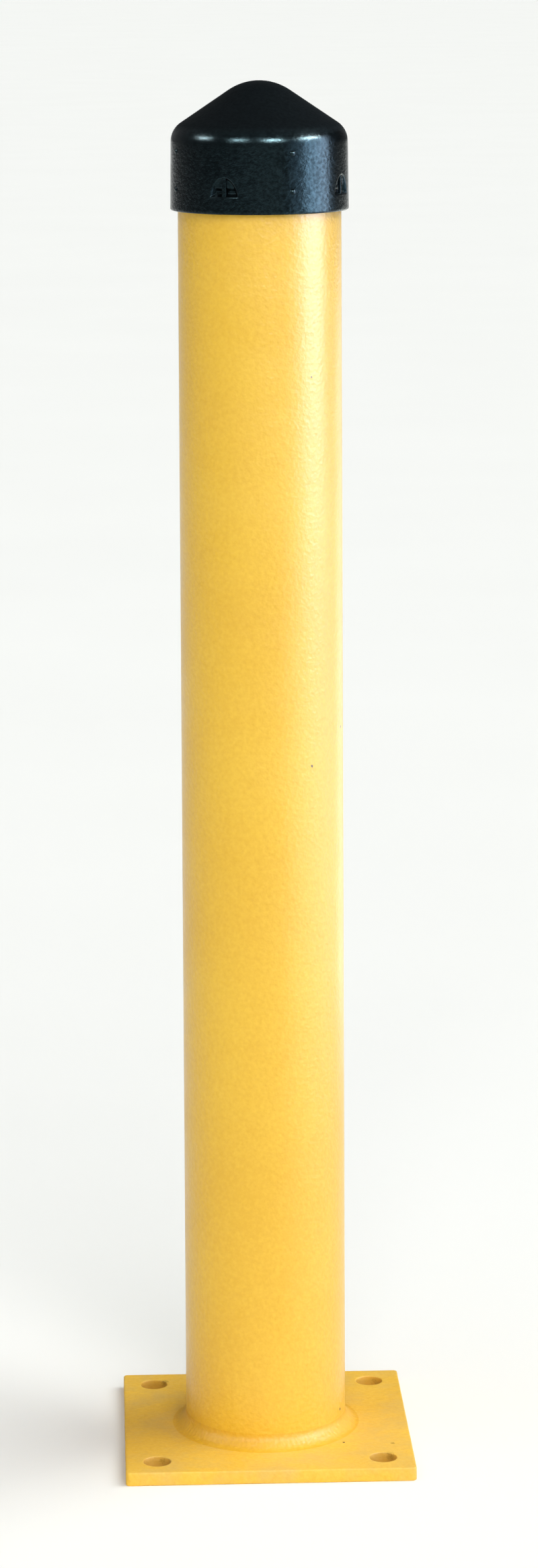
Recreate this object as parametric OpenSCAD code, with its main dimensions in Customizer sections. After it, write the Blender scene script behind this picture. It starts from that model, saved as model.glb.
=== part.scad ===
// Steel bollard post: a round tube welded upright on a square base plate,
// with a moulded cap pushed down over the tube's upper end.
// Millimetres, +Z up. The origin is the middle of the plate's underside, and -Y is the front.

/* [Base plate] */
// Side of the square base plate
plate_w = 203.2; // [190:0.1:320]
// Thickness of the base plate
plate_t = 9.525; // [6:0.025:20]
// Radius of the plate's four upright corners
plate_corner_r = 3; // [1:0.5:12]
// Edge break round the plate's top and bottom faces
plate_edge = 0.8; // [0.2:0.1:2]
// Diameter of each anchor hole
anchor_hole_d = 19.05; // [10:0.05:24]
// Distance from an anchor hole's centre to each of its two nearest plate edges
anchor_edge = 22.225; // [16:0.025:24]

/* [Post tube] */
// Outside diameter of the tube
tube_od = 114.3; // [88.9:0.1:120]
// Wall thickness of the tube
tube_wall = 6.02; // [3:0.01:9]
// Length of the tube, from the plate's top face to its upper end
tube_len = 914.4; // [450:0.1:1400]
// Edge break at the tube's upper end
tube_edge = 0.8; // [0.2:0.1:1.4]

/* [Weld] */
// Leg of the fillet weld up the tube
weld_leg_up = 8; // [3:0.5:12]
// Leg of the fillet weld out over the plate
weld_leg_out = 8; // [3:0.5:12]
// How far the weld's face bulges out of its straight chord
weld_crown = 0.7; // [0.2:0.1:1.2]

/* [Cap] */
// Radial gap between the tube and the skirt's mouth, which the grip ribs bridge
cap_gap = 1.1; // [0.8:0.1:3]
// Wall thickness of the cap
cap_wall = 4.1; // [3.6:0.1:6]
// Draft of the skirt: how far its radius shrinks from the mouth to the shoulder
cap_draft = 0.65; // [0.1:0.05:0.8]
// Height of the skirt, from the mouth to the corner where skirt and roof would meet
cap_skirt_h = 56; // [50:0.5:90]
// How far the skirt laps down over the tube
cap_overlap = 40.5; // [34:0.5:44]
// Slope of the roof below its rounded top
cap_roof_pitch = 34.1; // [22:0.1:45]
// Radius of the rounded shoulder
cap_shoulder_r = 16; // [6:0.5:20]
// Radius of the rounded top
cap_tip_r = 38; // [12:0.5:50]
// Rounding of the mouth's outer edge
cap_lip_r = 1.2; // [0.4:0.1:1.6]
// Lead-in chamfer inside the mouth
cap_lead = 1.4; // [0.4:0.1:1.8]

/* [Cap ribs] */
// Number of ribs between two chain slots
ribs_per_bay = 3; // [1:1:5]
// Thickness of a rib
rib_t = 2.2; // [1.2:0.1:4]
// Clearance between the ribs and the tube's outside
rib_clear = 0.15; // [0.1:0.05:0.4]
// How far above the mouth the grip ribs begin
rib_start = 5; // [2:0.5:12]
// How far the stops above the tube's end reach in over its wall
stop_reach = 4.6; // [2:0.1:5.5]

/* [Chain slots] */
// Number of chain slots round the cap
slot_count = 4; // [2:1:4]
// Angle of the first chain slot, from the front towards the right
slot_azimuth = -25.5; // [-45:0.5:45]
// Height of a slot's middle above the cap's mouth
slot_rise = 18.8; // [16:0.1:30]
// Width of a slot along its sill, at the cap's surface
slot_w = 20.6; // [14:0.1:24]
// Height of a slot at the cap's surface, from its sill to the top of its arch
slot_h = 13.6; // [12:0.1:18]
// Fullness of the arch: 2 is half an ellipse, and less is more pointed
slot_arch = 1.8; // [1.4:0.1:2.6]
// How far each side wall of a slot leans in towards its floor
slot_lean_side = 3.2; // [0.5:0.1:4]
// How far the sill of a slot leans in towards its floor
slot_lean_end = 2.2; // [0.5:0.1:3]
// Height above the sill at which the deep part of the floor ends
slot_step_low = 3.6; // [3.2:0.1:5]
// Height above the sill at which the shallow part of the floor begins
slot_step_high = 7; // [5.5:0.1:9]
// Depth of the shallow part, just above the step
slot_shallow = 1.8; // [1:0.1:2.4]
// Depth of the shallow part at the top of the arch
slot_top_depth = 1.2; // [0.6:0.1:1.6]
// Wall left behind a slot's floor
slot_floor_t = 1; // [0.8:0.1:1.4]
// Width of the upright bar across the middle of a slot
bar_w = 3; // [2:0.1:5]
// Thickness of the bar
bar_t = 1.6; // [1.2:0.1:2]
// How far the bar's face lies below the cap's surface
bar_sink = 0.5; // [0.25:0.05:0.6]

/* [Cap pips] */
// Height of the lower pip above the cap's mouth
pip_low = 15.7; // [8:0.1:20]
// Height of the upper pip above the cap's mouth
pip_high = 41.9; // [34:0.1:44]
// Radius of a pip's ball
pip_r = 2.2; // [1.5:0.1:3]
// How far a pip stands out of the skirt
pip_proud = 0.8; // [0.3:0.1:1.2]

/* [Hidden] */
$fn = 128;

cut = 1;
curve_steps = 10;
tube_r = tube_od / 2;
anchor_at = plate_w / 2 - anchor_edge;
tube_top_z = plate_t + tube_len;

cap_mouth_z = tube_top_z - cap_overlap;
cap_mouth_r = tube_r + cap_gap + cap_wall;
cap_corner = [cap_mouth_r - cap_draft, cap_mouth_z + cap_skirt_h];
skirt_tilt = atan(cap_draft / cap_skirt_h);
roof_tilt = 90 - cap_roof_pitch;
shoulder_centre = inner_corner(cap_corner, skirt_tilt, roof_tilt, cap_shoulder_r);
tip_centre = [0, cap_corner.y + (cap_corner.x * cos(roof_tilt) - cap_tip_r) / sin(roof_tilt)];
rib_in_r = tube_r + rib_clear;
slot_skin_r = skirt_r(slot_rise);
slot_floor_r = rib_in_r + slot_floor_t;
slot_pad_margin = 2;
bar_face_r = slot_skin_r - bar_sink;

// Direction at an angle above the horizontal
function aim(a) = [cos(a), sin(a)];

// Points of an arc about a centre
function arc(centre, r, from, to, steps) =
    [for (i = [0:steps]) centre + r * aim(from + (to - from) * i / steps)];

// Point that lies a distance d inside both lines through a corner, given the tilts of their normals
function inner_corner(corner, tilt_a, tilt_b, d) =
    corner - d * (aim(tilt_a) + aim(tilt_b)) / (1 + aim(tilt_a) * aim(tilt_b));

// Radius of the skirt's outside at a height above the mouth
function skirt_r(rise) = cap_mouth_r - rise * tan(skirt_tilt);

// Copies its children at each chain slot, turned on by a further angle
module each_slot(turn = 0) {
    for (i = [0:slot_count - 1])
        rotate([0, 0, slot_azimuth + turn + i * 360 / slot_count]) children();
}

// Square slab with round corners and broken edges, built from its corner discs and two crossing bars
module rounded_slab(w, t, r, edge) {
    bar_half = w / 2 - r;
    side = [[-w / 2, edge], [-w / 2 + edge, 0], [w / 2 - edge, 0], [w / 2, edge],
            [w / 2, t - edge], [w / 2 - edge, t], [-w / 2 + edge, t], [-w / 2, t - edge]];
    for (turn = [0, 90])
        rotate([90, 0, turn])
            translate([0, 0, -bar_half])
                linear_extrude(2 * bar_half) polygon(side);
    for (x = [-bar_half, bar_half], y = [-bar_half, bar_half])
        translate([x, y, 0])
            rotate_extrude()
                polygon([[0, 0], [r - edge, 0], [r, edge], [r, t - edge], [r - edge, t], [0, t]]);
}

module base_plate() {
    color("gold")
        difference() {
            rounded_slab(plate_w, plate_t, plate_corner_r, min(plate_edge, plate_corner_r - 0.1));
            for (x = [-anchor_at, anchor_at], y = [-anchor_at, anchor_at])
                translate([x, y, -cut]) cylinder(d = anchor_hole_d, h = plate_t + 2 * cut);
        }
}

module post_tube() {
    bore_r = tube_r - tube_wall;
    color("gold")
        rotate_extrude()
            polygon([[bore_r, plate_t], [tube_r, plate_t],
                     [tube_r, tube_top_z - tube_edge], [tube_r - tube_edge, tube_top_z],
                     [bore_r + tube_edge, tube_top_z], [bore_r, tube_top_z - tube_edge]]);
}

// Fillet weld all round the tube's foot, with a slightly bulging face
module weld_bead() {
    top = [tube_r, plate_t + weld_leg_up];
    toe = [tube_r + weld_leg_out, plate_t];
    out = [weld_leg_up, weld_leg_out] / norm([weld_leg_up, weld_leg_out]);
    face = [for (i = [0:curve_steps])
        let (u = i / curve_steps)
        toe * (1 - u) + top * u + out * 4 * weld_crown * u * (1 - u)];
    color("gold")
        rotate_extrude() polygon(concat([[tube_r, plate_t]], face));
}

// The cap's outer form, or that form set in all round by the same amount
module cap_form(inset = 0) {
    foot_r = cap_mouth_r - inset / cos(skirt_tilt);
    shoulder = arc(shoulder_centre, cap_shoulder_r - inset, skirt_tilt, roof_tilt, curve_steps);
    tip = arc(tip_centre, cap_tip_r - inset, roof_tilt, 90, curve_steps);
    rotate_extrude()
        polygon(concat([[0, cap_mouth_z], [foot_r, cap_mouth_z]], shoulder, tip));
}

// What the rounding takes off the mouth's outer edge
module lip_cutter() {
    lip_centre = [cap_mouth_r - cap_lip_r, cap_mouth_z + cap_lip_r];
    rotate_extrude()
        polygon(concat([[cap_mouth_r + cut, cap_mouth_z + cap_lip_r],
                        [cap_mouth_r + cut, cap_mouth_z - cut],
                        [lip_centre.x, cap_mouth_z - cut]],
                       arc(lip_centre, cap_lip_r, -90, 0, curve_steps / 2)));
}

// Hollow of the cap, with the lead-in at its mouth
module cap_hollow() {
    mouth_in_r = cap_mouth_r - cap_wall / cos(skirt_tilt);
    cap_form(cap_wall);
    translate([0, 0, cap_mouth_z - cut]) cylinder(r = mouth_in_r, h = 2 * cut);
    rotate_extrude()
        polygon([[0, cap_mouth_z - cut], [mouth_in_r + cap_lead + cut, cap_mouth_z - cut],
                 [mouth_in_r, cap_mouth_z + cap_lead], [0, cap_mouth_z + cap_lead]]);
}

// One rib: a grip on the tube's outside, and above it a stop that rests on the tube's end
module rib() {
    stop_r = tube_r - stop_reach;
    high_z = cap_corner.y + cap_mouth_r;
    rotate([90, 0, -90])
        translate([0, 0, -rib_t / 2])
            linear_extrude(rib_t)
                polygon([[rib_in_r, cap_mouth_z + rib_start], [cap_mouth_r, cap_mouth_z + rib_start],
                         [cap_mouth_r, high_z], [stop_r, high_z],
                         [stop_r, tube_top_z], [rib_in_r, tube_top_z]]);
}

// Thicker wall behind a chain slot, which bears on the tube
module slot_pad() {
    pad_w = slot_w - 2 * slot_lean_side + 2 * slot_pad_margin;
    pad_h = slot_h - 2 * slot_lean_end + 2 * slot_pad_margin;
    difference() {
        translate([-pad_w / 2, -cap_mouth_r, cap_mouth_z + slot_rise - pad_h / 2])
            cube([pad_w, cap_mouth_r, pad_h]);
        cylinder(r = rib_in_r, h = tube_top_z);
    }
}

// Outline of a slot's arch above its sill, carried down past the sill
function arch_outline(half_w, h, fullness, steps) =
    concat([[-half_w, -h], [half_w, -h]],
           [for (i = [0:steps])
               let (a = 180 * i / steps)
               [half_w * sign(cos(a)) * pow(abs(cos(a)), 2 / fullness), h * pow(sin(a), 2 / fullness)]]);

// Recess of a chain slot: an arch whose sides and sill lean in from the cap's surface,
// with a floor that is deep just above the sill and shallow under the arch
module slot_recess() {
    depth = slot_skin_r - slot_floor_r;
    reach = depth + cut;
    side_out = slot_w / 2 + slot_lean_side * cut / depth;
    side_in = slot_w / 2 - slot_lean_side;
    translate([0, -slot_floor_r, cap_mouth_z + slot_rise - slot_h / 2])
        intersection() {
            translate([0, 0, -slot_h])
                linear_extrude(3 * slot_h)
                    polygon([[-side_in, 0], [side_in, 0], [side_out, -reach], [-side_out, -reach]]);
            rotate([90, 0, 90])
                translate([0, 0, -slot_w])
                    linear_extrude(2 * slot_w)
                        polygon([[-reach, -slot_lean_end * cut / depth], [0, slot_lean_end], [0, slot_step_low],
                                 [slot_shallow - depth, slot_step_high], [slot_top_depth - depth, slot_h],
                                 [slot_top_depth - depth, slot_h + cut], [-reach, slot_h + cut]]);
            translate([0, cut, 0])
                rotate([90, 0, 0])
                    linear_extrude(reach + 2 * cut)
                        polygon(arch_outline(slot_w / 2, slot_h, slot_arch, 2 * curve_steps));
        }
}

// Upright bar that a hook or a cord goes behind
module slot_bar() {
    translate([-bar_w / 2, -bar_face_r, cap_mouth_z + slot_rise - slot_h / 2])
        cube([bar_w, bar_t, slot_h]);
}

module pip(rise) {
    translate([0, pip_r - pip_proud - skirt_r(rise), cap_mouth_z + rise])
        sphere(r = pip_r, $fn = 32);
}

module cap() {
    bay = 360 / slot_count;
    color("#1b1d20") {
        difference() {
            union() {
                difference() {
                    cap_form();
                    cap_hollow();
                    lip_cutter();
                }
                intersection() {
                    cap_form(cap_wall / 2);
                    union() {
                        for (i = [1:ribs_per_bay]) each_slot(i * bay / (ribs_per_bay + 1)) rib();
                        each_slot() slot_pad();
                    }
                }
            }
            each_slot() slot_recess();
        }
        each_slot() slot_bar();
        each_slot(bay / 2) {
            pip(pip_low);
            pip(pip_high);
        }
    }
}

base_plate();
post_tube();
weld_bead();
cap();
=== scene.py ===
import math

import bmesh
import bpy
from mathutils import Matrix, Vector, noise


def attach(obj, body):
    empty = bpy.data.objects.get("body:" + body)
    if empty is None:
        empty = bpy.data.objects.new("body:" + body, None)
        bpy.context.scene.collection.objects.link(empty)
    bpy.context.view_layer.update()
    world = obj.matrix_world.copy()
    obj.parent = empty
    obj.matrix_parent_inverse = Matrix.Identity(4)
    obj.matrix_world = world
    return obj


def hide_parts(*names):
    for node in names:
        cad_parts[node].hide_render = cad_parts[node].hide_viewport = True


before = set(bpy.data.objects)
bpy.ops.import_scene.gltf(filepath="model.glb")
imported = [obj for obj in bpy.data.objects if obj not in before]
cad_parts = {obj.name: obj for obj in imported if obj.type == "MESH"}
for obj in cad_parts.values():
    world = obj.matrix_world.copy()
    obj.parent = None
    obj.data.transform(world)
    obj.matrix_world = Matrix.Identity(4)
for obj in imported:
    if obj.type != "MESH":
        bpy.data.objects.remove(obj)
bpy.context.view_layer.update()        # one body, root, with the nodes base_plate, post_tube, weld_bead and cap
scene = bpy.context.scene
mm = 0.001
tiny = 0.001 * mm        # points nearer than this are one


def deg(angle):
    return math.radians(angle)


# helpers for meshes

def newObject(name, points, faces=(), edges=()):
    mesh = bpy.data.meshes.new(name)
    mesh.from_pydata([Vector(p) * mm for p in points], list(edges), list(faces))
    obj = bpy.data.objects.new(name, mesh)
    scene.collection.objects.link(obj)
    return obj


def makePlain(obj):
    # the evaluated shape becomes the object's own mesh, and no modifier is left
    bpy.context.view_layer.update()
    seen = obj.evaluated_get(bpy.context.evaluated_depsgraph_get())
    plain = bpy.data.meshes.new_from_object(seen)
    obj.modifiers.clear()
    obj.data = plain
    plain.name = obj.name


def closeAndSmooth(obj, sharpAngle):
    form = bmesh.new()
    form.from_mesh(obj.data)
    bmesh.ops.remove_doubles(form, verts=form.verts, dist=2 * tiny)
    bmesh.ops.dissolve_degenerate(form, edges=form.edges, dist=tiny)
    bmesh.ops.recalc_face_normals(form, faces=form.faces)
    openEdges = sum(1 for e in form.edges if not e.is_manifold)
    form.to_mesh(obj.data)
    form.free()
    obj.data.shade_smooth()
    obj.data.set_sharp_from_angle(angle=deg(sharpAngle))
    triangles = sum(len(f.vertices) - 2 for f in obj.data.polygons)
    print("  ", obj.name, triangles, "triangles,", openEdges, "open edges")


def handOver(obj, node, material):
    obj.data.materials.clear()
    obj.data.materials.append(material)
    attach(obj, "root")
    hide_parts(node)


def arc(centre, radius, start, end, steps):
    angles = [deg(start + (end - start) * i / steps) for i in range(steps + 1)]
    return [(centre[0] + radius * math.cos(a), centre[1] + radius * math.sin(a)) for a in angles]


def spread(start, end, step):
    # even stops from start up to, but not including, end
    count = max(1, round(abs(end - start) / step))
    return [start + (end - start) * i / count for i in range(count)]


# helpers for node trees

def geometryTree(name, inputs):
    tree = bpy.data.node_groups.new(name, "GeometryNodeTree")
    tree.interface.new_socket("Geometry", in_out="INPUT", socket_type="NodeSocketGeometry")
    for label, kind in inputs:
        tree.interface.new_socket(label, in_out="INPUT", socket_type="NodeSocket" + kind)
    tree.interface.new_socket("Geometry", in_out="OUTPUT", socket_type="NodeSocketGeometry")
    return tree


def addNode(tree, kind, place=(0, 0), links=None, **settings):
    node = tree.nodes.new(kind)
    node.location = place
    for key, value in settings.items():
        setattr(node, key, value)
    for socket, source in (links or {}).items():
        target = node.inputs[socket]
        if isinstance(source, bpy.types.NodeSocket):
            tree.links.new(source, target)
        else:
            target.default_value = source
    return node


def endTree(tree, geometry, material, x):
    real = addNode(tree, "GeometryNodeRealizeInstances", (x, 100), {"Geometry": geometry}).outputs[0]
    finished = addNode(tree, "GeometryNodeSetMaterial", (x + 200, 100),
                       {"Geometry": real, "Material": material}).outputs[0]
    addNode(tree, "NodeGroupOutput", (x + 400, 100), {"Geometry": finished})


def useTree(obj, tree, values):
    modifier = obj.modifiers.new(tree.name, "NODES")
    modifier.node_group = tree
    for item in tree.interface.items_tree:
        if item.in_out == "INPUT" and item.name in values:
            modifier[item.identifier] = values[item.name]
    makePlain(obj)


# materials

# a noise size is in waves to the metre, and a pair is the low and the high end of a range
paintFinish = {
    "deep": (0.84, 0.475, 0.018), "bright": (0.92, 0.565, 0.034), "toneSize": 7.0,
    "grainSize": 330.0, "grain": 0.44,
    "peelSize": 360.0, "peelShare": 1.2, "swellSize": 55.0, "peelDepth": 0.5, "peelStrength": 0.7,
    "patchSize": 26.0, "roughness": (0.32, 0.41), "specular": 0.45, "tint": (0.72, 0.84, 1.0),
    "coat": 0.42, "coatRoughness": 0.36,
    "film": (0.66, 0.45, 0.16), "filmSize": 34.0, "dull": 0.0,
    # the smudge colour also paints shade inside the anchor holes
    "speck": (0.10, 0.055, 0.012), "smudgeAndHoleShade": (0.42, 0.23, 0.015), "raggedSize": 900.0,
}
# the weld's deep and bright colours are a darker copy of the tube's paint: painted shade against the extra
# light its upward face catches
weldFinish = {**paintFinish, "deep": (0.78, 0.41, 0.012), "bright": (0.86, 0.49, 0.024), "dull": 0.1,
              "roughness": (0.45, 0.55), "specular": 0.3, "coat": 0.0}
plateFinish = {**weldFinish, "deep": (0.84, 0.48, 0.038), "bright": (0.92, 0.57, 0.065), "dull": 0.4,
               # bore: painted shade inside the anchor holes, full at the lower of the two depths
               "roughness": (0.52, 0.64), "bore": (0.50, 0.26, 0.02), "boreShadeDepths": (9.6, 6.0)}


def objectNoise(tree, coords, scale, detail, roughness, place):
    return addNode(tree, "ShaderNodeTexNoise", place,
                   {"Vector": coords, "Scale": scale, "Detail": detail, "Roughness": roughness})


def mathNode(tree, operation, a, b, place=(0, 0), clamp=False):
    return addNode(tree, "ShaderNodeMath", place, {0: a, 1: b},
                   operation=operation, use_clamp=clamp).outputs[0]


def rangeNode(tree, value, fromMin, fromMax, toMin, toMax, place=(0, 0)):
    return addNode(tree, "ShaderNodeMapRange", place,
                   {"Value": value, "From Min": fromMin, "From Max": fromMax,
                    "To Min": toMin, "To Max": toMax}).outputs[0]


def vectorNode(tree, operation, a, b, place=(0, 0)):
    node = addNode(tree, "ShaderNodeVectorMath", place, {0: a, 1: b}, operation=operation)
    return node.outputs["Value" if operation == "DISTANCE" else "Vector"]


def mixColour(tree, factor, a, b, place=(0, 0)):
    node = addNode(tree, "ShaderNodeMix", place, data_type="RGBA", blend_type="MIX")
    for socket, value in ((0, factor), (6, a), (7, b)):
        if isinstance(value, bpy.types.NodeSocket):
            tree.links.new(value, node.inputs[socket])
        elif socket == 0:
            node.inputs[0].default_value = value
        else:
            node.inputs[socket].default_value = (*value, 1.0)
    return node.outputs[2]


def newMaterial(name):
    material = bpy.data.materials.new(name)
    material.use_nodes = True
    tree = material.node_tree
    shader = tree.nodes["Principled BSDF"]
    coords = addNode(tree, "ShaderNodeTexCoord", (-1500, 0)).outputs["Object"]
    return material, tree, shader, coords


def bumpNode(tree, strength, distance, relief, place):
    return addNode(tree, "ShaderNodeBump", place,
                   {"Strength": strength, "Distance": distance * mm, "Height": relief}).outputs["Normal"]


def paintMaterial(name, finish, spots=(), shadedBores=None):
    material, tree, shader, coords = newMaterial(name)
    tone = objectNoise(tree, coords, finish["toneSize"], 3.0, 0.55, (-1200, 300)).outputs["Fac"]
    grain = objectNoise(tree, coords, finish["grainSize"], 2.0, 0.6, (-1200, 60)).outputs["Fac"]
    toneShare = rangeNode(tree, tone, 0.32, 0.68, 0.15, 0.85, (-980, 300))
    grainShare = rangeNode(tree, grain, 0.25, 0.75, -finish["grain"], finish["grain"], (-980, 60))
    share = mathNode(tree, "ADD", toneShare, grainShare, (-760, 200), clamp=True)
    colour = mixColour(tree, share, finish["deep"], finish["bright"], (-560, 240))
    if finish["dull"]:
        film = objectNoise(tree, coords, finish["filmSize"], 4.0, 0.62, (-1200, -160)).outputs["Fac"]
        filmShare = rangeNode(tree, film, 0.42, 0.7, 0.0, finish["dull"], (-980, -160))
        colour = mixColour(tree, filmShare, colour, finish["film"], (-360, 240))
    if shadedBores:
        # painted shade down inside the four anchor holes: the paint turns browner and darker the deeper it goes
        at, radius = shadedBores
        mirrored = vectorNode(tree, "ABSOLUTE", coords, (0.0, 0.0, 0.0), (-1200, -900))
        flat = vectorNode(tree, "MULTIPLY", mirrored, (1.0, 1.0, 0.0), (-1020, -900))
        away = vectorNode(tree, "DISTANCE", flat, (at * mm, at * mm, 0.0), (-840, -900))
        depth = addNode(tree, "ShaderNodeSeparateXYZ", (-840, -1080), {0: coords}).outputs["Z"]
        inside = rangeNode(tree, away, (radius - 0.2) * mm, (radius + 0.5) * mm, 1.0, 0.0, (-660, -900))
        high, low = finish["boreShadeDepths"]
        down = rangeNode(tree, depth, high * mm, low * mm, 0.25, 1.0, (-660, -1080))
        boreShadeShare = mathNode(tree, "MULTIPLY", inside, down, (-480, -900))
        colour = mixColour(tree, boreShadeShare, colour, finish["bore"], (-260, 240))
    if spots:
        ragged = objectNoise(tree, coords, finish["raggedSize"], 2.0, 0.5, (-1200, -400)).outputs["Fac"]
        for kind, x, y, z, radius in spots:
            away = vectorNode(tree, "DISTANCE", coords, (x * mm, y * mm, z * mm), (-980, -400))
            near = mathNode(tree, "DIVIDE", away, radius * mm)
            rough = mathNode(tree, "ADD", near, rangeNode(tree, ragged, 0.3, 0.7, -0.35, 0.35))
            mask = rangeNode(tree, rough, 0.7 if kind == "speck" else 0.2, 1.15, 1.0, 0.0)
            colour = mixColour(tree, mask, colour, finish[kind], (-160, 240))
    tree.links.new(colour, shader.inputs["Base Color"])

    patches = objectNoise(tree, coords, finish["patchSize"], 3.0, 0.5, (-760, -260)).outputs["Fac"]
    low, high = finish["roughness"]
    tree.links.new(rangeNode(tree, patches, 0.3, 0.7, low, high, (-560, -260)), shader.inputs["Roughness"])
    shader.inputs["Specular IOR Level"].default_value = finish["specular"]
    shader.inputs["Specular Tint"].default_value = (*finish["tint"], 1.0)
    shader.inputs["Coat Weight"].default_value = finish["coat"]
    shader.inputs["Coat Roughness"].default_value = finish["coatRoughness"]

    peel = objectNoise(tree, coords, finish["peelSize"], 1.5, 0.45, (-760, -520)).outputs["Fac"]
    swell = objectNoise(tree, coords, finish["swellSize"], 2.0, 0.5, (-760, -720)).outputs["Fac"]
    peelShare = mathNode(tree, "MULTIPLY", peel, finish["peelShare"])
    relief = mathNode(tree, "ADD", peelShare, swell, (-360, -560))
    bump = bumpNode(tree, finish["peelStrength"], finish["peelDepth"], relief, (-160, -520))
    tree.links.new(bump, shader.inputs["Normal"])
    return material


plasticFinish = {
    "deep": (0.0013, 0.0020, 0.0024), "pale": (0.0024, 0.0034, 0.0040), "toneSize": 45.0,
    "patchSize": 160.0, "roughness": (0.17, 0.24), "tint": (0.46, 0.86, 1.0), "sheen": (0.15, 0.35),
    "pebbleSize": 420.0, "fineSize": 1500.0, "fineShare": 0.25, "pebbleDepth": 0.27, "pebbleStrength": 0.8,
    "skirtTop": (925.0, 932.0), "roofGrain": 0.5,    # heights between which the grain fades
    "roofStart": (937.5, 943.0), "roofSheen": 0.28, "roofRough": 0.33,
    # roof: a paler colour over the roof, a painted sheen
    "roof": (0.0031, 0.0040, 0.0049), "roofPaintedSheen": 0.7,
}


def plasticMaterial(name, finish):
    material, tree, shader, coords = newMaterial(name)
    tone = objectNoise(tree, coords, finish["toneSize"], 4.0, 0.6, (-1000, 300)).outputs["Fac"]
    share = rangeNode(tree, tone, 0.3, 0.7, 0.0, 1.0, (-780, 300))
    moulded = mixColour(tree, share, finish["deep"], finish["pale"], (-560, 300))
    # the roof is duller than the polished skirt and shoulder, and its paler colour is a painted sheen in place
    # of the reflection it loses
    height = addNode(tree, "ShaderNodeSeparateXYZ", (-1260, -460), {0: coords}).outputs["Z"]
    start, end = finish["roofStart"]
    roof = rangeNode(tree, height, start * mm, end * mm, 0.0, 1.0, (-1000, 100))
    roofPaintedSheen = mathNode(tree, "MULTIPLY", roof, finish["roofPaintedSheen"], (-560, 480))
    colour = mixColour(tree, roofPaintedSheen, moulded, finish["roof"], (-360, 300))
    tree.links.new(colour, shader.inputs["Base Color"])
    low, high = finish["roughness"]
    patches = objectNoise(tree, coords, finish["patchSize"], 3.0, 0.6, (-1000, -60)).outputs["Fac"]
    rough = mathNode(tree, "ADD", rangeNode(tree, patches, 0.3, 0.7, low, high, (-780, 0)),
                     mathNode(tree, "MULTIPLY", roof, finish["roofRough"], (-780, 100)), (-560, 60))
    tree.links.new(rough, shader.inputs["Roughness"])
    shader.inputs["Specular Tint"].default_value = (*finish["tint"], 1.0)
    # the moulded grain is strong on the skirt and faint on the shoulder and roof
    low, high = finish["skirtTop"]
    cover = rangeNode(tree, height, low * mm, high * mm, 1.0, finish["roofGrain"], (-1260, -620))
    grain = objectNoise(tree, coords, finish["pebbleSize"], 2.5, 0.55, (-1260, -300)).outputs["Fac"]
    middled = mathNode(tree, "SUBTRACT", grain, 0.5, (-1080, -300))
    around = mathNode(tree, "MULTIPLY", middled, cover, (-920, -300))
    pebble = mathNode(tree, "ADD", around, 0.5, (-760, -300))
    fine = objectNoise(tree, coords, finish["fineSize"], 1.0, 0.5, (-1000, -520)).outputs["Fac"]
    fineShare = mathNode(tree, "MULTIPLY", fine, finish["fineShare"])
    relief = mathNode(tree, "ADD", pebble, fineShare, (-560, -300))
    low, high = finish["sheen"]
    sheen = mathNode(tree, "MULTIPLY", rangeNode(tree, pebble, 0.36, 0.64, low, high, (-560, -100)),
                     rangeNode(tree, roof, 0.0, 1.0, 1.0, finish["roofSheen"], (-560, -40)), (-400, -100))
    shader.inputs["Specular IOR Level"].default_value = (low + high) / 2
    tree.links.new(sheen, shader.inputs["Specular IOR Level"])
    bump = bumpNode(tree, finish["pebbleStrength"], finish["pebbleDepth"], relief, (-320, -300))
    tree.links.new(bump, shader.inputs["Normal"])
    return material


# base plate: sheared square plate, with its edges and hole rims softened by the paint

plateForm = {
    "width": 203.2, "thick": 9.525, "corner": 3.0, "edge": 0.9, "rimEdge": 0.7,
    "hole": 19.05, "holeAt": 79.375, "cornerSteps": 8, "holeSteps": 72, "hold": 1.4,
    "sideStep": 6.0, "unevenness": 0.14, "waviness": 0.09,
}


def squareLoop(inset, form):
    half = form["width"] / 2 - form["corner"]
    radius = form["corner"] - inset
    quarter = arc((half, half), radius, 0, 90, form["cornerSteps"])
    quarter += [(half - along, half + radius) for along in spread(0, 2 * half, form["sideStep"])[1:]]
    points = []
    for corner in range(4):
        cosine, sine = math.cos(deg(90 * corner)), math.sin(deg(90 * corner))
        points += [(x * cosine - y * sine, x * sine + y * cosine) for x, y in quarter]
    return points


def holeLoop(inset, x, y, form):
    radius = form["hole"] / 2 + inset
    return [(x + px, y + py) for px, py in arc((0, 0), radius, 0, 360, form["holeSteps"])[:-1]]


def edgeProfile(form, edge):
    # inset from the rim and height, from the underside's holding line round to the top's
    thick = form["thick"]
    hold = edge + form["hold"]
    under = [(edge - edge * math.sin(deg(a)), edge - edge * math.cos(deg(a))) for a in (0, 30, 60, 90)]
    above = [(inset, thick - height) for inset, height in reversed(under)]
    return [(hold, 0.0)] + under + above + [(hold, thick)]


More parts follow.
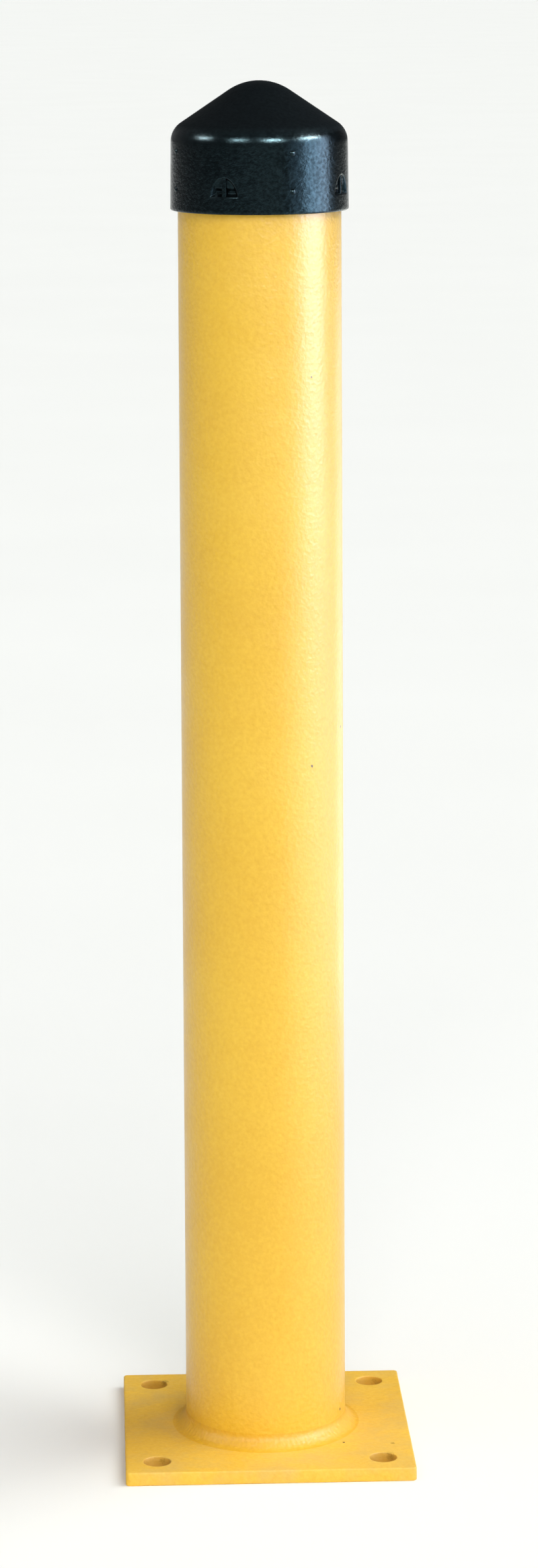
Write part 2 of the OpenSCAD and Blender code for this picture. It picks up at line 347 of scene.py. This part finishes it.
def buildPlate(form):
    solid = bmesh.new()
    at = form["holeAt"]
    rims = [(lambda d: squareLoop(d, form), form["edge"], form["unevenness"])]
    for x, y in ((-at, -at), (at, -at), (at, at), (-at, at)):
        rims.append((lambda d, x=x, y=y: holeLoop(d, x, y, form), form["rimEdge"], 0.0))
    faceEdges = {0: [], 1: []}
    for loopAt, edge, uneven in rims:
        rings = []
        for inset, height in edgeProfile(form, edge):
            ring = []
            for x, y in loopAt(inset):
                wave = 0.0
                if inset < edge + 0.01:
                    wave = noise.noise(Vector((x, y, height * 3)) * form["waviness"]) * uneven
                away = Vector((x, y)).normalized() * (wave - uneven / 2)
                ring.append(solid.verts.new(Vector((x + away.x, y + away.y, height)) * mm))
            rings.append(ring)
        for lower, upper in zip(rings, rings[1:]):
            for i in range(len(lower)):
                j = (i + 1) % len(lower)
                solid.faces.new((lower[i], lower[j], upper[j], upper[i]))
        for side, ring in ((0, rings[0]), (1, rings[-1])):
            faceEdges[side] += [solid.edges.get(pair) for pair in zip(ring, ring[1:] + ring[:1])]
    for side in (0, 1):
        bmesh.ops.triangle_fill(solid, edges=faceEdges[side], use_beauty=True)
    obj = newObject("basePlate", [])
    solid.to_mesh(obj.data)
    solid.free()
    return obj


# tube and weld: a profile carried round the post

def spinTree():
    tree = geometryTree("carryRound", [("Steps", "Int"), ("Ripples", "Float"), ("Ripple Depth", "Float"),
                                       ("Wander", "Float"), ("Lean", "Float"), ("Material", "Material")])
    given = addNode(tree, "NodeGroupInput", (-1600, 0)).outputs
    size = addNode(tree, "GeometryNodeAttributeDomainSize", (-1400, 200), {"Geometry": given["Geometry"]})
    rows = size.outputs["Point Count"]
    lastRow = mathNode(tree, "SUBTRACT", rows, 1.0, (-1200, 200))
    columns = mathNode(tree, "ADD", given["Steps"], 1.0, (-1200, 0))
    grid = addNode(tree, "GeometryNodeMeshGrid", (-1000, 200),
                   {"Size X": given["Steps"], "Size Y": lastRow, "Vertices X": columns, "Vertices Y": rows})
    place = addNode(tree, "ShaderNodeSeparateXYZ", (-1000, -100),
                    {0: addNode(tree, "GeometryNodeInputPosition", (-1200, -200)).outputs[0]}).outputs
    column = mathNode(tree, "DIVIDE", place["X"], given["Steps"], (-800, -100))
    angle = mathNode(tree, "MULTIPLY", column, 2 * math.pi, (-600, -100))
    halfRows = mathNode(tree, "MULTIPLY", lastRow, 0.5, (-800, -300))
    row = mathNode(tree, "ADD", place["Y"], halfRows, (-600, -300))
    picked = addNode(tree, "GeometryNodeSampleIndex", (-400, -300),
                     {"Geometry": given["Geometry"],
                      "Index": mathNode(tree, "ROUND", row, 0.0, (-500, -300))},
                     data_type="FLOAT_VECTOR", domain="POINT", clamp=True)
    position = addNode(tree, "GeometryNodeInputPosition", (-600, -460)).outputs[0]
    tree.links.new(position, picked.inputs["Value"])
    profile = addNode(tree, "ShaderNodeSeparateXYZ", (-200, -300), {0: picked.outputs["Value"]}).outputs

    sine = mathNode(tree, "SINE", angle, 0.0, (-400, -60))
    cosine = mathNode(tree, "COSINE", angle, 0.0, (-400, 80))
    ring = addNode(tree, "ShaderNodeCombineXYZ", (-200, 0), {"X": sine, "Y": cosine}).outputs[0]
    # the ripples wander slowly round the ring and are cut up by a finer noise
    drift = addNode(tree, "ShaderNodeTexNoise", (-200, 200),
                    {"Vector": ring, "Scale": 3.0, "Detail": 3.0}).outputs["Fac"]
    rough = addNode(tree, "ShaderNodeTexNoise", (-200, 420),
                    {"Vector": ring, "Scale": 14.0, "Detail": 2.0}).outputs["Fac"]
    phase = mathNode(tree, "ADD", mathNode(tree, "MULTIPLY", angle, given["Ripples"]),
                     mathNode(tree, "ADD", mathNode(tree, "MULTIPLY", drift, given["Wander"]),
                              mathNode(tree, "MULTIPLY", row, given["Lean"])))
    wave = mathNode(tree, "ADD", mathNode(tree, "MULTIPLY", mathNode(tree, "SINE", phase, 0.0), 0.5),
                    mathNode(tree, "SUBTRACT", rough, 0.5))
    # the profile's own Y says how much of the ripple a point takes, in thousandths
    share = mathNode(tree, "MULTIPLY", profile["Y"], 1000.0)
    lift = mathNode(tree, "MULTIPLY", mathNode(tree, "MULTIPLY", wave, given["Ripple Depth"]), share)
    radius = mathNode(tree, "ADD", profile["X"], lift)
    height = mathNode(tree, "ADD", profile["Z"], lift)
    point = addNode(tree, "ShaderNodeCombineXYZ", (200, -100),
                    {"X": mathNode(tree, "MULTIPLY", radius, sine),
                     "Y": mathNode(tree, "MULTIPLY", radius, mathNode(tree, "MULTIPLY", cosine, -1.0)),
                     "Z": height}).outputs[0]
    placed = addNode(tree, "GeometryNodeSetPosition", (400, 100),
                     {"Geometry": grid.outputs["Mesh"], "Position": point}).outputs[0]
    merged = addNode(tree, "GeometryNodeMergeByDistance", (600, 100),
                     {"Geometry": placed, "Distance": tiny})
    endTree(tree, merged.outputs[0], given["Material"], 800)
    return tree


tubeForm = {"outside": 57.15, "wall": 6.02, "low": 9.525, "high": 923.925, "edge": 0.8,
            "steps": 288, "rowStep": 24.0, "rimSteps": 4}


def tubeProfile(form):
    bore = form["outside"] - form["wall"]
    edge, low, high = form["edge"], form["low"], form["high"]
    outer = [(form["outside"], z) for z in spread(low, high - edge, form["rowStep"])]
    top = arc((form["outside"] - edge, high - edge), edge, 0, 90, form["rimSteps"])
    top += arc((bore + edge, high - edge), edge, 90, 180, form["rimSteps"])
    inner = [(bore, z) for z in spread(high - edge, low, form["rowStep"])][1:]
    middle = (bore + form["outside"]) / 2
    loop = outer + top + inner + [(bore, low), (middle, low), (form["outside"], low)]
    return [(r, 0.0, z) for r, z in loop]


weldForm = {"tube": 57.15, "plate": 9.525, "up": 6.6, "out": 6.6, "crown": 0.1, "root": 0.5,
            "toeSink": 0.05, "topSink": 0.02, "runOut": 3.6, "blend": 4,
            "rows": 10, "endRows": 6, "steps": 720,
            "ripples": 96.0, "rippleDepth": 0.06, "wander": 11.0, "lean": 0.16}    # lean: radians to a row


def weldProfile(form):
    # face from the plate up to the tube; both ends run out in a soft curve, as paint fills them
    tube, plate = form["tube"], form["plate"]
    toe = Vector((tube + form["out"], plate))
    top = Vector((tube, plate + form["up"]))
    out = Vector((form["up"], form["out"])).normalized()
    face = []
    for i in range(form["rows"] + 1):
        u = i / form["rows"]
        face.append(toe.lerp(top, u) + out * 4 * form["crown"] * u * (1 - u))

    def runOut(corner, flatWay, inner):
        start, points = corner + flatWay * form["runOut"], []
        for i in range(form["endRows"]):
            t = i / form["endRows"]
            points.append(start * (1 - t) ** 2 + corner * 2 * t * (1 - t) + inner * t ** 2)
        return points

    k = form["blend"]
    curve = runOut(toe, Vector((1, 0)), face[k]) + face[k:-k]
    curve += runOut(top, Vector((0, 1)), face[-k - 1])[::-1]
    # the ripples fade out towards both ends
    share = [math.sin(math.pi * min(1.0, 1.1 * i / (len(curve) - 1))) ** 1.5 for i in range(len(curve))]
    points = [(p.x, max(s, 0.0), p.y) for p, s in zip(curve, share)]
    # the ends sink a little into the plate and the tube, and the back is hidden in them
    points[0] = (curve[0].x, 0.0, plate - form["toeSink"])
    points[-1] = (tube - form["topSink"], 0.0, curve[-1].y)
    root = form["root"]
    points += [(tube - root, 0.0, plate + form["up"]), (tube - root, 0.0, plate - root),
               (tube + form["out"], 0.0, plate - root), points[0]]
    return points


# cap: one moulding

capForm = {
    "mouthR": 62.35, "mouthZ": 883.425, "cornerR": 61.7, "cornerZ": 939.425, "wall": 4.1,
    "roofPitch": 34.1, "shoulder": 16.0, "tip": 38.0, "lip": 1.2, "lead": 1.4,
    "tubeTop": 923.925, "gripR": 57.3,
    "slots": 4, "firstSlot": -25.5, "slotZ": 902.225, "slotWide": 20.6, "slotHigh": 13.6,
    "leanSide": 2.1, "leanEnd": 2.2, "archPower": 1.8, "deep": 3.8, "shallow": 1.8, "topDepth": 1.2,
    "stepLow": 3.6, "stepHigh": 7.0, "edgeSoft": 0.7, "cornerSoft": 0.6, "slotRim": 0.9, "wallRoom": 3.0,
    "ledgeRoom": 1.4, "pastSlot": (0.5, 1.5),    # degrees and mm that a recess may reach past a slot
    "fine": 0.3, "flat": 0.6, "coarse": 1.5,    # mesh spacings: slot walls, slot floor and the rest
    "outerSteps": (18, 16, 8), "innerSteps": (8, 6, 5), "lipSteps": 6,    # shoulder, roof and tip
}


def softMin(a, b, k):
    h = max(k - abs(a - b), 0.0) / k
    return min(a, b) - h * h * k / 4


def softMax(a, b, k):
    return -softMin(-a, -b, k)


def capOutline(form, inset, steps):
    # skirt line, shoulder and tip as lists of (radius, height), set in all round by inset
    tilt = math.degrees(math.atan((form["mouthR"] - form["cornerR"]) / (form["cornerZ"] - form["mouthZ"])))
    roof = 90 - form["roofPitch"]
    skirtWay = Vector((math.cos(deg(tilt)), math.sin(deg(tilt))))
    roofWay = Vector((math.cos(deg(roof)), math.sin(deg(roof))))
    corner = Vector((form["cornerR"], form["cornerZ"]))
    centre = corner - form["shoulder"] * (skirtWay + roofWay) / (1 + skirtWay.dot(roofWay))
    tipZ = form["cornerZ"] + (form["cornerR"] * roofWay.x - form["tip"]) / roofWay.y
    shoulder = arc(centre, form["shoulder"] - inset, tilt, roof, steps[0])
    tip = arc((0, tipZ), form["tip"] - inset, roof, 90, steps[2])
    start, end = Vector(shoulder[-1]), Vector(tip[0])
    slope = [tuple(start.lerp(end, i / steps[1])) for i in range(1, steps[1])]
    foot = (form["mouthR"] - inset / skirtWay.x, form["mouthZ"])
    return foot, shoulder, slope + tip[:-1], tip[-1]


def skirtRadius(form, z):
    draft = (z - form["mouthZ"]) * (form["mouthR"] - form["cornerR"]) / (form["cornerZ"] - form["mouthZ"])
    return form["mouthR"] - draft


def recessDepth(form, angle, z):
    # a chain slot is an arch with leaning walls and a level ledge; its floor drops away behind the bar
    across = abs(skirtRadius(form, form["slotZ"]) * math.sin(angle))
    rise = z - form["slotZ"] + form["slotHigh"] / 2
    half, tall, power = form["slotWide"] / 2, form["slotHigh"], form["archPower"]
    reach = ((across / half) ** power + (max(rise, 0.0) / tall) ** power) ** (1 / power)
    side = (1 - reach) * half * form["deep"] / form["leanSide"]
    ledge = rise * form["deep"] / form["leanEnd"]
    t = min(max((rise - form["stepLow"]) / (form["stepHigh"] - form["stepLow"]), 0.0), 1.0)
    drop = t * t * (3 - 2 * t)
    upper = form["shallow"] + ((form["topDepth"] - form["shallow"]) * max(rise - form["stepHigh"], 0.0)
                               / (tall - form["stepHigh"]))
    floor = form["deep"] + (upper - form["deep"]) * drop
    walls = softMin(side, ledge, form["cornerSoft"])
    return softMax(softMin(walls, floor, form["cornerSoft"]), 0.0, form["edgeSoft"])


def buildShell(form):
    bay, rim = 360 / form["slots"], form["slotRim"]
    skinR = skirtRadius(form, form["slotZ"])
    toAngle = 1 / deg(skinR)    # degrees round the skirt to a millimetre
    wallIn, wallOut = form["slotWide"] / 2 - form["leanSide"] - form["wallRoom"], form["slotWide"] / 2 + rim
    near = spread(-wallIn, wallIn, form["flat"])
    side = spread(wallIn, wallOut, form["fine"])
    offsets = ([-x for x in reversed(side)][:-1] + near + side)
    angles = sorted(x * toAngle for x in offsets)
    angles += spread(wallOut * toAngle, bay - wallOut * toAngle, form["coarse"])
    angles = sorted(set(round(a % bay, 5) for a in angles))
    columns = [form["firstSlot"] + s * bay + a for s in range(form["slots"]) for a in angles]

    foot, shoulder, roof, tip = capOutline(form, 0, form["outerSteps"])
    footIn, shoulderIn, roofIn, tipIn = capOutline(form, form["wall"], form["innerSteps"])
    lip = arc((foot[0] - form["lip"], form["mouthZ"] + form["lip"]), form["lip"], -90, 0, form["lipSteps"])
    half = form["slotHigh"] / 2
    low, high = form["slotZ"] - half, form["slotZ"] + half
    ledge = high - form["leanEnd"] - form["ledgeRoom"]
    rise = (spread(form["mouthZ"] + form["lip"], low - rim, form["coarse"])[1:]
            + spread(low - rim, low + form["stepHigh"], form["fine"])
            + spread(low + form["stepHigh"], ledge, form["flat"])
            + spread(ledge, high + rim, form["fine"])
            + spread(high + rim, shoulder[0][1], form["coarse"]))
    rows = [("plain", r, z) for r, z in lip]
    rows += [("skirt", skirtRadius(form, z), z) for z in rise]
    rows += [("plain", r, z) for r, z in shoulder + roof]
    leadZ, top = form["mouthZ"] + form["lead"], shoulderIn[0]
    innerRows = [("plain", footIn[0] + form["lead"], form["mouthZ"]), ("plain", footIn[0], leadZ)]
    innerRows += [("plain", footIn[0] + (top[0] - footIn[0]) * t, leadZ + (top[1] - leadZ) * t)
                  for t in (0.2, 0.4, 0.6, 0.8)]
    innerRows += [("plain", r, z) for r, z in shoulderIn + roofIn]

    points, faces = [], []
    pastAngle, pastHeight = form["pastSlot"]
    reachAngle, reachHeight = wallOut * toAngle + pastAngle, half + pastHeight

    def addRows(rowList):
        first = len(points)
        for kind, r, z in rowList:
            for degrees in columns:
                radius = r
                if kind == "skirt":
                    offset = (degrees - form["firstSlot"] + bay / 2) % bay - bay / 2
                    if abs(offset) < reachAngle and abs(z - form["slotZ"]) < reachHeight:
                        radius = r - recessDepth(form, deg(offset), z)
                points.append((radius * math.sin(deg(degrees)), -radius * math.cos(deg(degrees)), z))
        return first

    count = len(columns)

    def joinRings(a, b):
        for i in range(count):
            j = (i + 1) % count
            faces.append((a + i, a + j, b + j, b + i))

    outer = addRows(rows)
    inner = addRows(innerRows)
    for start, number in ((outer, len(rows)), (inner, len(innerRows))):
        for k in range(number - 1):
            joinRings(start + k * count, start + (k + 1) * count)
    joinRings(inner, outer)
    for start, number, peak in ((outer, len(rows), tip), (inner, len(innerRows), tipIn)):
        points.append((0.0, 0.0, peak[1]))
        last = start + (number - 1) * count
        for i in range(count):
            faces.append((last + i, last + (i + 1) % count, len(points) - 1))
    return newObject("capMoulding", points, faces)


insideForm = {
    "ribThick": 2.2, "ribStart": 5.0, "ribsPerBay": 3, "stopR": 52.55, "padHalf": 9.1, "padMargin": 2.0,
    "padBack": 58.15, "barWide": 3.0, "barThick": 1.6, "barSink": 0.5, "barRound": 0.35, "barRoot": 1.0,
    "pipLow": 15.7, "pipHigh": 41.9, "pipR": 2.6, "pipProud": 0.95,
    "ribSteps": (6, 12, 2), "padSteps": 16, "barSteps": 4, "pipRounds": 4,
}


def prism(name, outline, thick):
    # outline in (distance from the axis, height), at the front, with its thickness across
    count = len(outline)
    points = [(side * thick / 2, -r, z) for side in (-1, 1) for r, z in outline]
    faces = [tuple(range(count)), tuple(range(2 * count - 1, count - 1, -1))]
    faces += [(i, i + count, (i + 1) % count + count, (i + 1) % count) for i in range(count)]
    return newObject(name, points, faces)


def ribPart(cap, part):
    # a grip on the tube's side and a stop over its end, both rooted in the middle of the cap's wall
    foot, shoulder, roof, tip = capOutline(cap, cap["wall"] / 2, part["ribSteps"])
    low = cap["mouthZ"] + part["ribStart"]
    outside = [p for p in shoulder + roof if p[0] > part["stopR"]]
    a, b = outside[-1], next(p for p in roof if p[0] <= part["stopR"])
    share = (a[0] - part["stopR"]) / (a[0] - b[0])
    outline = [(cap["gripR"], low), (skirtRadius(cap, low) - cap["wall"] / 2, low)] + outside
    outline += [(part["stopR"], a[1] + (b[1] - a[1]) * share), (part["stopR"], cap["tubeTop"]),
                (cap["gripR"], cap["tubeTop"])]
    return prism("ribPart", outline, part["ribThick"])


def padPart(cap, part):
    wide = part["padHalf"]
    tall = cap["slotHigh"] / 2 - cap["leanEnd"] + part["padMargin"]
    steps = part["padSteps"]
    limit = math.asin(wide / cap["gripR"])
    points, faces = [], []
    for z in (cap["slotZ"] - tall, cap["slotZ"] + tall):
        for r in (cap["gripR"], part["padBack"]):
            points += [(r * math.sin(a), -r * math.cos(a), z)
                       for a in [limit * (2 * i / steps - 1) for i in range(steps + 1)]]
    n = steps + 1
    for i in range(steps):
        faces += [(i, i + 1, n + i + 1, n + i), (2 * n + i, 3 * n + i, 3 * n + i + 1, 2 * n + i + 1),
                  (i, 2 * n + i, 2 * n + i + 1, i + 1), (n + i, n + i + 1, 3 * n + i + 1, 3 * n + i)]
    faces += [(0, n, 3 * n, 2 * n), (n - 1, 3 * n - 1, 4 * n - 1, 2 * n - 1)]
    return newObject("padPart", points, faces)


def barPart(cap, part):
    face = skirtRadius(cap, cap["slotZ"]) - part["barSink"]
    back, half, rnd = face - part["barThick"], part["barWide"] / 2, part["barRound"]
    right, near, far, steps = half - rnd, face - rnd, back + rnd, part["barSteps"]
    outline = (arc((right, near), rnd, 0, 90, steps) + arc((-right, near), rnd, 90, 180, steps)
               + arc((-right, far), rnd, 180, 270, steps) + arc((right, far), rnd, 270, 360, steps))
    tall = cap["slotHigh"] / 2 + part["barRoot"]
    count = len(outline)
    points = [(x, -y, cap["slotZ"] + side * tall) for side in (-1, 1) for x, y in outline]
    faces = [tuple(range(count)), tuple(range(2 * count - 1, count - 1, -1))]
    faces += [(i, i + count, (i + 1) % count + count, (i + 1) % count) for i in range(count)]
    return newObject("barPart", points, faces)


def pipPart(cap, part):
    ball = bmesh.new()
    for rise in (part["pipLow"], part["pipHigh"]):
        away = skirtRadius(cap, cap["mouthZ"] + rise) + part["pipProud"] - part["pipR"]
        place = Matrix.Translation(Vector((0, -away, cap["mouthZ"] + rise)) * mm)
        bmesh.ops.create_icosphere(ball, subdivisions=part["pipRounds"],
                                   radius=part["pipR"] * mm, matrix=place)
    obj = newObject("pipPart", [])
    ball.to_mesh(obj.data)
    ball.free()
    return obj


def bayTree():
    # copies a part round the axis, so many to each bay between two chain slots
    tree = geometryTree("roundTheBays", [("Part", "Object"), ("Bays", "Int"), ("Per Bay", "Int"),
                                         ("First Angle", "Float"), ("Material", "Material")])
    given = addNode(tree, "NodeGroupInput", (-1400, 0)).outputs
    bay = mathNode(tree, "DIVIDE", 2 * math.pi, given["Bays"], (-1200, 200))
    total = mathNode(tree, "MULTIPLY", given["Bays"], given["Per Bay"], (-1200, 0))
    index = addNode(tree, "GeometryNodeInputIndex", (-1200, -200)).outputs[0]
    bayNumber = mathNode(tree, "FLOOR", mathNode(tree, "DIVIDE", index, given["Per Bay"]), 0.0)
    turnBay = mathNode(tree, "MULTIPLY", bay, bayNumber)
    inBay = mathNode(tree, "ADD", mathNode(tree, "MODULO", index, given["Per Bay"]), 1.0)
    step = mathNode(tree, "DIVIDE", bay, mathNode(tree, "ADD", given["Per Bay"], 1.0))
    angle = mathNode(tree, "ADD", given["First Angle"],
                     mathNode(tree, "ADD", turnBay, mathNode(tree, "MULTIPLY", inBay, step)), (-500, 0))
    spots = addNode(tree, "GeometryNodePoints", (-800, 200), {"Count": total})
    part = addNode(tree, "GeometryNodeObjectInfo", (-800, -200), {"Object": given["Part"]})
    turn = addNode(tree, "ShaderNodeCombineXYZ", (-300, 0), {"Z": angle})
    copies = addNode(tree, "GeometryNodeInstanceOnPoints", (-100, 100),
                     {"Points": spots.outputs[0], "Instance": part.outputs["Geometry"],
                      "Rotation": turn.outputs[0]})
    endTree(tree, copies.outputs[0], given["Material"], 100)
    return tree


def unite(base, extra):
    join = base.modifiers.new("unite", "BOOLEAN")
    join.operation, join.solver, join.object = "UNION", "MANIFOLD", extra
    makePlain(base)
    bpy.data.objects.remove(extra)


# everything in order

print("stage: materials")
# marks at the places read off: specks and a smudge on the paint, and painted shade on the far right-hand walls
# inside the four anchor holes; kind, place and radius
tubeSpots = [("speck", 33.0, -46.7, 497.0, 1.0), ("speck", 54.4, -17.5, 519.0, 1.1),
             ("speck", 33.5, -46.3, 770.0, 0.7), ("speck", 52.2, -23.3, 25.0, 1.1)]
plateSpots = [("speck", 53.5, -49.0, 9.6, 1.1), ("smudgeAndHoleShade", 88.0, -52.0, 9.6, 1.6),
              # the next four are painted shade inside the four anchor holes
              ("smudgeAndHoleShade", 85.0, -72.0, 6.5, 3.6), ("smudgeAndHoleShade", -72.0, 84.8, 8.5, 3.6),
              ("smudgeAndHoleShade", -76.0, -72.0, 6.0, 3.0), ("smudgeAndHoleShade", 83.0, 86.0, 6.0, 3.0)]
tubePaint = paintMaterial("tubePaint", paintFinish, tubeSpots)
platePaint = paintMaterial("platePaint", plateFinish, plateSpots,
                           (plateForm["holeAt"], plateForm["hole"] / 2))
weldPaint = paintMaterial("weldPaint", weldFinish)
capPlastic = plasticMaterial("capPlastic", plasticFinish)

print("stage: base plate")
plate = buildPlate(plateForm)
closeAndSmooth(plate, 50)
handOver(plate, "base_plate", platePaint)

print("stage: tube and weld")
carryRound = spinTree()
tube = newObject("postTube", tubeProfile(tubeForm))
useTree(tube, carryRound, {"Steps": tubeForm["steps"], "Ripples": 0.0, "Ripple Depth": 0.0, "Wander": 0.0,
                           "Lean": 0.0, "Material": tubePaint})
closeAndSmooth(tube, 40)
handOver(tube, "post_tube", tubePaint)

weld = newObject("weldBead", weldProfile(weldForm))
useTree(weld, carryRound, {"Steps": weldForm["steps"], "Ripples": weldForm["ripples"],
                           "Ripple Depth": weldForm["rippleDepth"] * mm, "Wander": weldForm["wander"],
                           "Lean": weldForm["lean"], "Material": weldPaint})
closeAndSmooth(weld, 60)
handOver(weld, "weld_bead", weldPaint)

print("stage: cap")
cap = buildShell(capForm)
closeAndSmooth(cap, 60)
roundTheBays = bayTree()
bayHalf = 180 / capForm["slots"]
for part, perBay, start in ((ribPart(capForm, insideForm), insideForm["ribsPerBay"], 0.0),
                            (padPart(capForm, insideForm), 1, -bayHalf),
                            (barPart(capForm, insideForm), 1, -bayHalf),
                            (pipPart(capForm, insideForm), 1, 0.0)):
    closeAndSmooth(part, 40)
    copies = newObject(part.name + "Copies", [])
    useTree(copies, roundTheBays, {"Part": part, "Bays": capForm["slots"], "Per Bay": perBay,
                                   "First Angle": deg(capForm["firstSlot"] + start),
                                   "Material": capPlastic})
    unite(cap, copies)
    bpy.data.objects.remove(part)
closeAndSmooth(cap, 38)
handOver(cap, "cap", capPlastic)


# studio

floorLook = {"wide": 600.0, "long": 600.0, "colour": (0.975, 0.975, 0.97), "mottle": 0.985,
             "roughness": 0.85, "specular": 0.2,
             "dim": (0.11, 0.113, 0.117), "fade": (5.4, 9.0)}


def buildFloor(look):
    # pale near the post, and greyer far out to both sides, which gives the cap its dark edges
    x, y = look["wide"] / 2 / mm, look["long"] / 2 / mm
    floor = newObject("studioFloor", [(-x, -y, 0), (x, -y, 0), (x, y, 0), (-x, y, 0)], [(0, 1, 2, 3)])
    material, tree, shader, coords = newMaterial("paleFloor")
    tone = objectNoise(tree, coords, 2.0, 2.0, 0.5, (-900, 200)).outputs["Fac"]
    share = rangeNode(tree, tone, 0.3, 0.7, 0.0, 1.0, (-700, 200))
    darker = tuple(c * look["mottle"] for c in look["colour"])
    near = mixColour(tree, share, darker, look["colour"], (-500, 200))
    across = addNode(tree, "ShaderNodeSeparateXYZ", (-900, 0), {0: coords}).outputs["X"]
    start, end = look["fade"]
    aside = mathNode(tree, "ABSOLUTE", across, 0.0, (-700, 0))
    out = rangeNode(tree, aside, start, end, 0.0, 1.0, (-500, 0))
    tree.links.new(mixColour(tree, out, near, look["dim"], (-300, 200)), shader.inputs["Base Color"])
    shader.inputs["Roughness"].default_value = look["roughness"]
    shader.inputs["Specular IOR Level"].default_value = look["specular"]
    floor.data.materials.append(material)


# azimuth is from the front towards the right, elevation is above the level of what the light is aimed at
lamps = {
    "sidePanel": {"azimuth": 77, "elevation": 8, "away": 1.7, "aim": 0.85, "size": (1.18, 1.1),
                  "power": 53, "colour": (0.74, 0.80, 1.0)},
    "sideWing": {"azimuth": 46, "elevation": 7, "away": 1.9, "aim": 0.85, "size": (0.5, 1.1),
                 "power": 3.2, "colour": (0.74, 0.80, 1.0)},
    "lowPanel": {"azimuth": 76, "elevation": 0, "away": 1.0, "aim": 0.31, "size": (1.7, 0.6),
                 "power": 9.5, "colour": (0.74, 0.80, 1.0)},
    "edgePanel": {"azimuth": 136, "elevation": 0, "away": 1.0, "aim": 0.4, "size": (0.5, 0.72),
                  "power": 2.0, "colour": (0.95, 1.0, 0.9)},
    "bankFarLeft": {"azimuth": -84, "elevation": 24, "away": 2.6, "aim": 0.93, "size": (0.6, 0.2),
                    "power": 44, "colour": (1.0, 0.90, 0.86)},
    "bankLeft": {"azimuth": -30, "elevation": 24, "away": 2.6, "aim": 0.93, "size": (0.6, 0.2),
                 "power": 47, "colour": (1.0, 0.90, 0.86)},
    "bankFront": {"azimuth": 16, "elevation": 24, "away": 2.6, "aim": 0.93, "size": (0.8, 0.2),
                  "power": 106, "colour": (1.0, 0.90, 0.86)},
    "bankRight": {"azimuth": 71, "elevation": 25, "away": 2.6, "aim": 0.93, "size": (1.1, 0.2),
                  "power": 142, "colour": (1.0, 0.90, 0.86)},
}
suns = {
    "frontSun": {"azimuth": 10, "elevation": 30, "strength": 1.68,
                 "angle": 40, "colour": (1.0, 0.985, 0.96)},
    "fillSun": {"azimuth": -50, "elevation": 64, "strength": 0.42,
                "angle": 50, "colour": (1.0, 0.985, 0.98)},
    "sideSun": {"azimuth": 90, "elevation": 54, "strength": 1.9,
                "angle": 46, "colour": (0.965, 1.0, 0.95)},
}
# the room is dim, and dimmest behind on the right, which leaves that edge of the cap dark
worldLook = {"high": (0.165, 0.172, 0.18), "level": (0.18, 0.185, 0.19), "blend": (0.1, 0.6),
             "dim": (0.03, 0.032, 0.035), "dimBlend": (0.25, 0.7)}


def wayTo(azimuth, elevation):
    a, e = deg(azimuth), deg(elevation)
    return Vector((math.sin(a) * math.cos(e), -math.cos(a) * math.cos(e), math.sin(e)))


def buildLights():
    for name, look in lamps.items():
        light = bpy.data.lights.new(name, "AREA")
        light.shape = "RECTANGLE"
        light.size, light.size_y = look["size"]
        light.energy = look["power"]
        light.color = look["colour"]
        lamp = bpy.data.objects.new(name, light)
        scene.collection.objects.link(lamp)
        way = wayTo(look["azimuth"], look["elevation"])
        lamp.location = Vector((0, 0, look["aim"])) + way * look["away"]
        lamp.rotation_euler = way.to_track_quat("Z", "Y").to_euler()
        lamp.visible_camera = False
        lamp.visible_diffuse = False    # these only draw highlights
    for name, look in suns.items():
        light = bpy.data.lights.new(name, "SUN")
        light.energy, light.angle, light.color = look["strength"], deg(look["angle"]), look["colour"]
        lamp = bpy.data.objects.new(name, light)
        scene.collection.objects.link(lamp)
        lamp.rotation_euler = wayTo(look["azimuth"], look["elevation"]).to_track_quat("Z", "Y").to_euler()
        lamp.visible_glossy = False     # these fill, and leave no spot on the cap
    world = bpy.data.worlds.new("studio")
    world.use_nodes = True
    tree = world.node_tree
    back = tree.nodes["Background"]
    way = addNode(tree, "ShaderNodeTexCoord", (-900, 0)).outputs["Generated"]
    axes = addNode(tree, "ShaderNodeSeparateXYZ", (-700, 0), {0: way}).outputs
    low, high = worldLook["blend"]
    share = rangeNode(tree, axes["Z"], low, high, 0.0, 1.0, (-500, 0))
    room = mixColour(tree, share, worldLook["level"], worldLook["high"], (-300, 0))
    start, end = worldLook["dimBlend"]
    side = rangeNode(tree, axes["X"], start, end, 0.0, 1.0, (-500, 240))
    tree.links.new(mixColour(tree, side, room, worldLook["dim"], (-100, 0)), back.inputs["Color"])
    scene.world = world


# place in metres, angles in degrees; focal and axisUp are in pixels of the photo's frame
cameraLook = {"place": (-0.11452, -3.0, 1.09146), "azimuth": 2.301, "tilt": 6.248, "roll": -0.284,
              "focal": 6404.9, "frame": (800, 2333), "axisUp": 600}


def buildCamera(look):
    tall = look["frame"][1]
    lens = bpy.data.cameras.new("photoCamera")
    lens.sensor_width = 36.0
    lens.lens = look["focal"] / tall * lens.sensor_width
    lens.shift_y = -look["axisUp"] / tall
    lens.clip_end = 900.0
    camera = bpy.data.objects.new("photoCamera", lens)
    scene.collection.objects.link(camera)
    camera.location = look["place"]
    turn = (Matrix.Rotation(-deg(look["azimuth"]), 3, "Z") @ Matrix.Rotation(deg(90 - look["tilt"]), 3, "X")
            @ Matrix.Rotation(deg(look["roll"]), 3, "Z"))
    camera.rotation_euler = turn.to_euler()
    bpy.context.scene.camera = camera


print("stage: studio")
buildFloor(floorLook)
buildLights()
buildCamera(cameraLook)
scene.view_settings.view_transform = "Standard"
